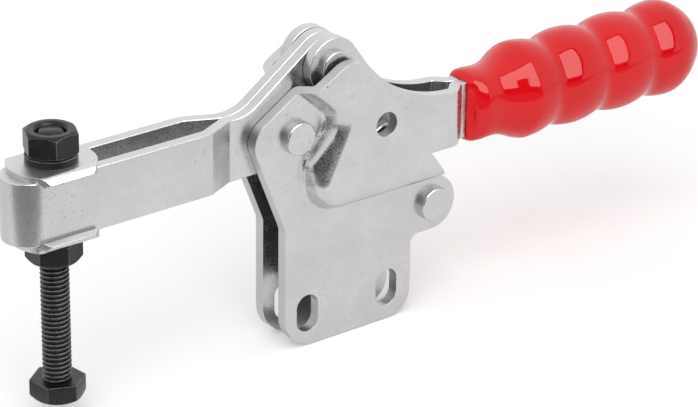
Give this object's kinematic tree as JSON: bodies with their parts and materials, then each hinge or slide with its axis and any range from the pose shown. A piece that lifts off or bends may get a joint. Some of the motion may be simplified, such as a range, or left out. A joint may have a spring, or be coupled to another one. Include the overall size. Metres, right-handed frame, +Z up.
{
  "type": "toggle clamp",
  "caption": "Horizontal-handle toggle clamp: a slotted upright base of pressed plates carries a forked hold-down arm with an adjustable screw and a ribbed grip.",
  "frame": {"origin": "centre of the front mounting slot, on the clamp's mid-plane", "axes": "+X from the arm's nose towards the grip, +Z up, Y across the plates with -Y towards the near side"},
  "size_m": [0.1812, 0.0196, 0.0677],
  "materials": {
    "zinc_plated_steel": "bright zinc plating with a fine mottled grain",
    "blackened_steel": "black oxide, satin",
    "red_grip": "glossy moulded vinyl"
  },
  "bodies": {
    "base": {"base_plate_near": "zinc_plated_steel", "base_plate_far": "zinc_plated_steel", "arm_pivot_rivet": "zinc_plated_steel", "arm_pivot_bush": "zinc_plated_steel", "link_base_rivet": "zinc_plated_steel", "link_base_bush": "zinc_plated_steel"},
    "arm": {"clamping_arm": "zinc_plated_steel"},
    "handle": {"handle_plate_near": "zinc_plated_steel", "handle_plate_far": "zinc_plated_steel", "handle_grip": "red_grip", "arm_handle_pin": "zinc_plated_steel", "link_handle_pin": "zinc_plated_steel"},
    "link": {"link_plate_near": "zinc_plated_steel", "link_plate_far": "zinc_plated_steel"},
    "spindle_carriage": {"upper_saddle_washer": "zinc_plated_steel", "lower_saddle_washer": "zinc_plated_steel", "spring_washer": "blackened_steel", "upper_nut": "blackened_steel", "lower_nut": "blackened_steel"},
    "spindle": {"clamping_screw": "blackened_steel"}
  },
  "joints": [
    {"name": "arm_swing", "type": "hinge", "parent": "base", "child": "arm", "pos_m": [-0.003, 0, 0.0409], "axis": [0, 1, 0], "range_deg": [0, 90]},
    {"name": "handle_swing", "type": "hinge", "parent": "arm", "child": "handle", "pos_m": [0.0064, 0, 0.0541], "axis": [0, -1, 0], "range_deg": [0, 167.57]},
    {"name": "link_swing", "type": "hinge", "parent": "handle", "child": "link", "pos_m": [0.019, 0, 0.0349], "axis": [0, 1, 0], "range_deg": [0, 111.3]},
    {"name": "screw_place", "type": "slide", "parent": "arm", "child": "spindle_carriage", "axis": [1, 0, 0], "range_m": [-0.0053, 0.024]},
    {"name": "screw_height", "type": "slide", "parent": "spindle_carriage", "child": "spindle", "axis": [0, 0, 1], "range_m": [-0.004, 0.02]}
  ],
  "couplings": [
    {"joint": "handle_swing", "follows": "arm_swing", "ratio": 1.8619},
    {"joint": "link_swing", "follows": "arm_swing", "ratio": 1.2366}
  ]
}
